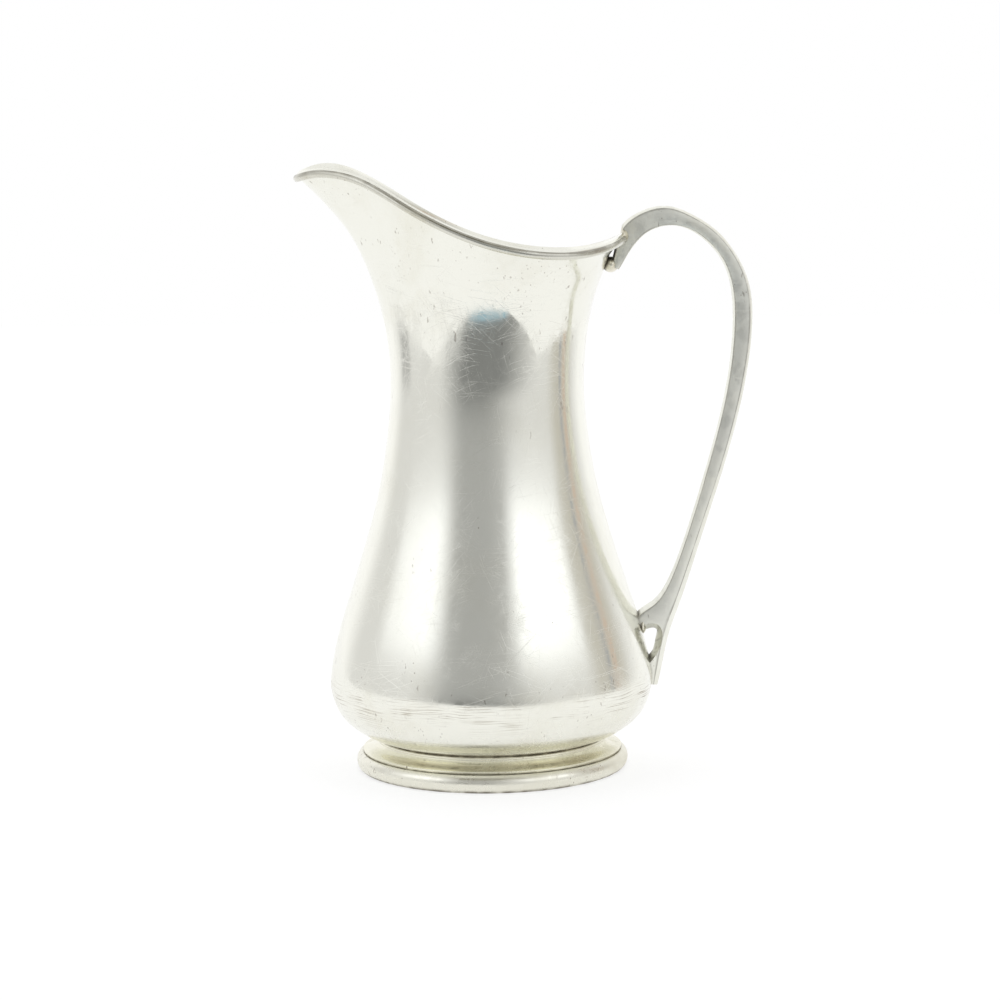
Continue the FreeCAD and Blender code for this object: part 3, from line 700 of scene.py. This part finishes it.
def piercing():
    """What cuts the opening above the handle's lower tip."""
    centre = np.mean(PIERCING, axis=0)
    away = np.array(PIERCING) - centre
    away /= np.linalg.norm(away, axis=1)[:, None]
    wide = PIERCING_DEPTH + PIERCING_RUN
    levels = [(-wide, PIERCING_FLARE), (-PIERCING_DEPTH, 0), (PIERCING_DEPTH, 0), (wide, PIERCING_FLARE)]
    n = 96
    verts = []
    for y, grow in levels:
        ring = np.concatenate([np.array(PIERCING) + away * grow, [(54.5, 36.0 - grow), (53.0, 46.0)]])
        closed = np.concatenate([ring[-3:], ring, ring[:4]])
        step = np.concatenate([[0], np.cumsum(np.linalg.norm(np.diff(closed, axis=0), axis=1))])
        outline = through(step, closed, np.linspace(step[3], step[-4], n + 1)[:-1])
        verts += [(x, y, z) for x, z in outline]
    faces = [[k * n + j, k * n + (j + 1) % n, (k + 1) * n + (j + 1) % n, (k + 1) * n + j]
             for k in range(3) for j in range(n)]
    faces += [list(range(n)), [3 * n + j for j in range(n)][::-1]]
    return tool("piercing", verts, faces)


def handle_section(size, rise, h):
    """Section of the handle: its width, then its depth. The crown comes first, and then a side."""
    poles = np.array([(-h, size), (-h * CROWN_FULLNESS, size + rise),
                      (h * CROWN_FULLNESS, size + rise), (h, size)])
    arc = ((1 - CROWN) ** 3 * poles[0] + 3 * CROWN * (1 - CROWN) ** 2 * poles[1]
           + 3 * CROWN ** 2 * (1 - CROWN) * poles[2] + CROWN ** 3 * poles[3])
    side = [(h - SIDE_BULGE * (2 * t - 1) ** 2, size * (1 - t)) for t in np.linspace(0, 1, 9)]
    arc[:, 0] *= (h - SIDE_BULGE) / h
    mirror = [(-a, b) for a, b in side[::-1]]
    flat = side[1:] + [(h * 0.5, 0), (0, 0), (-h * 0.5, 0)] + mirror[:-1]
    return softened(np.concatenate([arc, flat]), dict.fromkeys((0, 12, 20, 24), HANDLE_EDGE))


def handle_grid():
    """Points of the handle before it is cut to fit, (rows, n, 3)."""
    stations = np.array(HANDLE)
    pairs = np.diff(stations[:, :4], axis=0)
    step = (np.linalg.norm(pairs[:, :2], axis=1) + np.linalg.norm(pairs[:, 2:], axis=1)) / 2
    at = np.concatenate([[0], np.cumsum(step)]) / step.sum()
    depth = stations[:, 2:4] - stations[:, :2]
    depth /= np.linalg.norm(depth, axis=1)[:, None]
    back = stations[:, 2:4] - depth * stations[:, 5:6]
    high = back + depth * stations[:, 5:6] * CROWN_HEIGHT
    rows = np.linspace(0, 1, HANDLE_ROWS)
    inner, back, high, half = (through(at, v, rows)
                               for v in (stations[:, :2], back, high, stations[:, 4:5]))
    sections = []
    for i in range(len(rows)):
        d = unit(back[i] - inner[i])
        size = np.linalg.norm(back[i] - inner[i])
        loop = handle_section(size, np.dot(high[i] - back[i], d), half[i, 0])
        sections.append(np.stack([inner[i, 0] + d[0] * loop[:, 1], loop[:, 0],
                                  inner[i, 1] + d[1] * loop[:, 1]], -1))
    return np.array(sections)


def handle_blank():
    """The uncut handle, with its texture lengths and the painted shade along its edges."""
    grid = handle_grid()
    count, n, _ = grid.shape
    faces = [[i * n + j, (i + 1) * n + j, (i + 1) * n + (j + 1) % n, i * n + (j + 1) % n]
             for i in range(count - 1) for j in range(n)]
    faces += [list(range(n))[::-1], [(count - 1) * n + j for j in range(n)]]
    blank = tool("handle_blank", grid.reshape(-1, 3), faces)
    run = np.concatenate([[0], np.cumsum(np.linalg.norm(np.diff(grid[:, 0], axis=0), axis=1))]) * MM
    girth = np.linalg.norm(np.diff(grid, axis=1, append=grid[:, :1]), axis=2).mean(0).cumsum() * MM
    girth = np.concatenate([[0], girth])
    layer = blank.data.uv_layers.new(name="UVMap").data
    for p in blank.data.polygons[:-2]:
        for loop in p.loop_indices:
            i, j = divmod(blank.data.loops[loop].vertex_index, n)
            wraps = j == 0 and p.index % n == n - 1
            layer[loop].uv = (run[i], girth[n if wraps else j])
    # Painted shade along the handle's four long edges, darkest at the crown's edges.
    dark = np.zeros(n)
    dark[[0, 1, 19, 20]] = 0.8
    dark[[28, 29, 39, 40]] = 0.6
    blank.data.attributes.new("edge", "FLOAT", "POINT").data.foreach_set("value", np.tile(dark, count))
    return blank


def handle_cast():
    """The cast handle, cut to fit the body and the rim wire, and pierced."""
    blank = handle_blank()
    cutters = [plug(), piercing()]
    for cutter in cutters:
        cut = blank.modifiers.new("cut", "BOOLEAN")
        cut.operation = "DIFFERENCE"
        cut.solver = "EXACT"
        cut.object = cutter
    graph = bpy.context.evaluated_depsgraph_get()
    mesh = bpy.data.meshes.new_from_object(blank.evaluated_get(graph), depsgraph=graph)
    mesh.name = "handle_cast"
    for used in cutters + [blank]:
        bpy.data.objects.remove(used)
    biggest_part(mesh)
    mesh.materials.clear()
    mesh.materials.append(CAST)
    mesh.shade_smooth()
    mesh.set_sharp_from_angle(angle=math.radians(SHARP_ANGLE))
    obj = bpy.data.objects.new("handle_cast", mesh)
    bpy.context.collection.objects.link(obj)
    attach(obj, "root")
    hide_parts("handle")


def biggest_part(mesh):
    """Keeps only the largest connected part of a mesh."""
    bm = bmesh.new()
    bm.from_mesh(mesh)
    left = set(bm.verts)
    parts = []
    while left:
        queue = [left.pop()]
        part = set(queue)
        while queue:
            for edge in queue.pop().link_edges:
                for v in edge.verts:
                    if v in left:
                        left.discard(v)
                        part.add(v)
                        queue.append(v)
        parts.append(part)
    keep = max(parts, key=len)
    bmesh.ops.delete(bm, geom=[v for v in bm.verts if v not in keep], context="VERTS")
    bm.to_mesh(mesh)
    bm.free()


body_sheet()
rim_bead()
bowl_sheet()
seam_ring()
foot_cove()
foot_ring()
handle_cast()

for node in ("foot_neck_solder", "base_ring_solder", "handle_top_solder", "handle_root_solder",
             "handle_arch_solder", "handle_tip_solder"):
    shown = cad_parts[node]
    shown.data.materials.clear()
    shown.data.materials.append(SOLDER)


# --- surroundings -----------------------------------------------------------------------------------
# Colours of the room, which shows only in the silver.
DIM_FRONT, PALE_SIDES, WHITE_BACK, LEFT_PATCH = (0.235, 0.24, 0.24, 1), grey(0.77), grey(1.06), grey(0.5)
RIGHT_WALL, RIGHT_WARM, RIGHT_DARK = (0.60, 0.58, 0.53, 1), (0.64, 0.53, 0.45, 1), (0.42, 0.43, 0.45, 1)
BLUE_STRIP = (0.38, 0.53, 0.62, 1)
LAMP = (1.40, 1.42, 1.46, 1)
CEILING, CEILING_FRONT = grey(0.95), (0.24, 0.225, 0.17, 1)


def surroundings():
    """White backdrop for the camera. In the silver: a dim room in front, two soft lights beside it.

    The room goes by direction, in degrees: az from the front to the right, el up from level.
    """
    world = bpy.data.worlds.new("studio")
    bpy.context.scene.world = world
    world.use_nodes = True
    g = Graph(world.node_tree)
    direction = g.node("ShaderNodeTexCoord").outputs["Generated"]
    split = g.node("ShaderNodeSeparateXYZ")
    g.put(split.inputs[0], direction)
    x, y, z = split.outputs
    az = g.math("DEGREES", g.math("ARCTAN2", x, g.math("MULTIPLY", y, -1.0)))
    el = g.math("DEGREES", g.math("ARCSINE", z))

    def window(lo0, lo1, hi0, hi1, value):
        """1 between lo1 and hi0, and 0 below lo0 and above hi1."""
        return g.math("MULTIPLY", g.ramp(value, lo0, lo1), g.ramp(value, hi0, hi1, 1.0, 0.0))

    reach = g.math("ADD", g.ramp(el, 4, -10, 0.0, 24.0), g.ramp(el, 0, 6, 0.0, 8.0))
    dim = window(-62, -22, g.math("ADD", reach, -14), g.math("ADD", reach, 44), az)
    room = g.mix(g.math("MULTIPLY", dim, g.ramp(el, -6, 12, 1.0, 0.62)),
                 PALE_SIDES, DIM_FRONT)
    room = g.mix(g.math("MULTIPLY", window(-124, -117, -106, -98, az), window(-10, -7, -5, -1, el)),
                 room, LEFT_PATCH)
    room = g.mix(window(72, 90, 106, 122, az), room, RIGHT_WALL)
    room = g.mix(window(99, 101, 104, 106, az), room, RIGHT_WARM)
    room = g.mix(window(93, 95, 97, 99, az), room, RIGHT_DARK)
    slant = g.math("MULTIPLY_ADD", az, 0.25, el)
    room = g.mix(g.math("MULTIPLY", window(-30, -25, 14, 19, az), g.ramp(slant, -24.0, -25.6)),
                 room, BLUE_STRIP)
    room = g.mix(g.ramp(g.math("ABSOLUTE", az), 112, 140), room, WHITE_BACK)
    height = g.math("MULTIPLY", g.ramp(el, 4, 30), g.ramp(el, 52, 66, 1.0, 0.0))
    lamps = g.math("MAXIMUM", window(-100, -86, -54, -30, az), window(12, 32, 72, 82, az))
    room = g.mix(g.math("MULTIPLY", lamps, height), room, LAMP)
    over = g.mix(window(-60, -35, 35, 60, az), CEILING, CEILING_FRONT)
    room = g.mix(g.ramp(el, 40, 54), room, over)
    lit = g.node("ShaderNodeBackground")
    g.put(lit.inputs["Color"], room)
    plain = g.node("ShaderNodeBackground")
    plain.inputs["Color"].default_value = grey(1.0)
    seen = g.node("ShaderNodeLightPath")
    both = g.node("ShaderNodeMixShader")
    g.put(both.inputs[0], seen.outputs["Is Camera Ray"])
    g.put(both.inputs[1], lit.outputs[0])
    g.put(both.inputs[2], plain.outputs[0])
    out = g.node("ShaderNodeOutputWorld")
    g.put(out.inputs["Surface"], both.outputs[0])


TABLE_HALF = 4.0                        # half the side of the white floor that the camera sees
TABLE_GLOW, CAMERA_GLOW = 0.66, 0.028   # its own light, and what the camera sees on top of that
TABLE_MATT = (0.416, 0.418, 0.422, 1)
SOFT_EDGE, SOFT_END = 0.004, 0.02


def table_top():
    """White table. Its edges, the front one 0.31 m before the pitcher, show only in the silver."""
    mesh = bpy.data.meshes.new("table_top")
    corners = [(-1, -1), (1, -1), (1, 1), (-1, 1)]
    mesh.from_pydata([(x * TABLE_HALF, y * TABLE_HALF, 0) for x, y in corners], [], [(0, 1, 2, 3)])
    obj = bpy.data.objects.new("table_top", mesh)
    bpy.context.collection.objects.link(obj)
    material = bpy.data.materials.new("white_table")
    material.use_nodes = True
    g = Graph(material.node_tree)
    where = g.node("ShaderNodeTexCoord").outputs["Object"]
    split = g.node("ShaderNodeSeparateXYZ")
    g.put(split.inputs[0], where)
    x, y, _ = split.outputs
    low, high = TABLE_FRONT[0][0], TABLE_FRONT[-1][0]
    front = g.node("ShaderNodeFloatCurve")
    g.put(front.inputs["Value"], g.ramp(x, low, high, smooth=False))
    line = front.mapping.curves[0]
    while len(line.points) < len(TABLE_FRONT):
        line.points.new(0.5, 0.5)
    for point, (at, limit) in zip(line.points, TABLE_FRONT):  # y from 1 m to -1 m is held as 0 to 1
        point.location = ((at - low) / (high - low), 0.5 - 0.5 * limit)
        point.handle_type = "VECTOR"
    front.mapping.update()
    past_front = g.math("ADD", y, g.math("MULTIPLY_ADD", front.outputs[0], 2.0, -1.0))
    from_left = g.math("ADD", x, g.math("MULTIPLY", g.math("MAXIMUM", y, 0.0), -TABLE_CORNER))
    ends = g.math("MULTIPLY", g.ramp(from_left, low, low + SOFT_END), g.ramp(x, high, high - SOFT_END))
    table = g.math("MULTIPLY", g.ramp(past_front, -SOFT_EDGE, SOFT_EDGE), ends)
    camera_ray = g.node("ShaderNodeLightPath").outputs["Is Camera Ray"]
    glow = g.node("ShaderNodeEmission")
    g.put(glow.inputs["Strength"], g.math("MULTIPLY_ADD", camera_ray, CAMERA_GLOW, TABLE_GLOW))
    g.put(glow.inputs["Color"], grey(1.0))
    matt = g.node("ShaderNodeBsdfDiffuse")
    matt.inputs["Color"].default_value = TABLE_MATT
    white = g.node("ShaderNodeAddShader")
    g.put(white.inputs[0], glow.outputs[0])
    g.put(white.inputs[1], matt.outputs[0])
    gone = g.node("ShaderNodeBsdfTransparent")
    both = g.node("ShaderNodeMixShader")
    g.put(both.inputs[0], g.math("MAXIMUM", table, camera_ray))
    g.put(both.inputs[1], gone.outputs[0])
    g.put(both.inputs[2], white.outputs[0])
    out = g.node("ShaderNodeOutputMaterial")
    g.put(out.inputs["Surface"], both.outputs[0])
    mesh.materials.append(material)


def camera():
    """A long lens 0.92 m in front, at the height of the flare, that looks a little down."""
    turn, pitch, roll = (math.radians(a) for a in (0.59, 6.472, 0.813))
    ahead = Vector((-math.sin(turn) * math.cos(pitch), math.cos(turn) * math.cos(pitch), -math.sin(pitch)))
    right = Vector((math.cos(turn), math.sin(turn), 0.0))
    up = right.cross(ahead)
    level = right * math.cos(roll) - up * math.sin(roll)
    above = right * math.sin(roll) + up * math.cos(roll)
    data = bpy.data.cameras.new("camera")
    data.lens = 89.96
    data.sensor_width = 36.0
    data.clip_start = 0.05
    obj = bpy.data.objects.new("camera", data)
    bpy.context.collection.objects.link(obj)
    rotation = Matrix((level, above, -ahead)).transposed()
    place = Vector((13.7, -924.0, 204.8)) * MM
    obj.matrix_world = Matrix.Translation(place) @ rotation.to_4x4()
    bpy.context.scene.camera = obj


surroundings()
table_top()
camera()
bpy.context.scene.view_settings.view_transform = "Standard"
